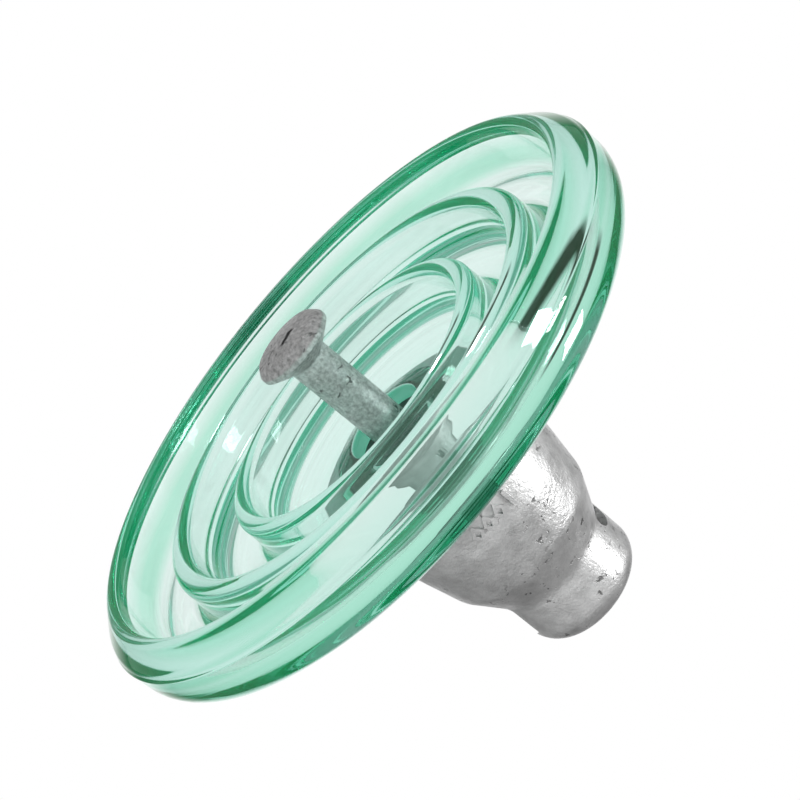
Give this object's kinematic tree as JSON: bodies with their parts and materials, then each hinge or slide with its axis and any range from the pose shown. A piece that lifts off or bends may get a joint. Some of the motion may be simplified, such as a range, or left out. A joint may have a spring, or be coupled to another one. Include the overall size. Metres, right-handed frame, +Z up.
{
  "type": "glass insulator",
  "caption": "Toughened glass cap-and-pin suspension insulator disc with a ball and socket coupling and a sliding locking clip.",
  "frame": {"origin": "on the insulator's axis, at the height where the socket's lip carries the ball of the unit above", "axes": "+Z up along the axis with the cap on top and the ball pin hanging down, +X out of the socket's side entry, -X through the clip's window"},
  "size_m": [0.255, 0.255, 0.1658],
  "materials": {
    "galvanised_cap": "hot-dip galvanised casting",
    "galvanised_pin": "hot-dip galvanised forging, matt and grainy",
    "green_glass": "polished toughened glass, pale green",
    "cement": "matt",
    "bitumen": "satin black coating",
    "cushion": "matt cork and rubber",
    "stainless_wire": "satin"
  },
  "bodies": {
    "insulator": {"cap": "galvanised_cap", "cap_bitumen_coat": "bitumen", "cap_cement": "cement", "cap_cushion": "cushion", "glass_shell": "green_glass", "pin_cushion": "cushion", "pin_cement": "cement", "pin_bitumen_coat": "bitumen", "ball_pin": "galvanised_pin"},
    "clip": {"locking_clip": "stainless_wire"}
  },
  "joints": [
    {"name": "clip_slide", "type": "slide", "parent": "insulator", "child": "clip", "axis": [-1, 0, 0], "range_m": [0, 0.025]}
  ]
}
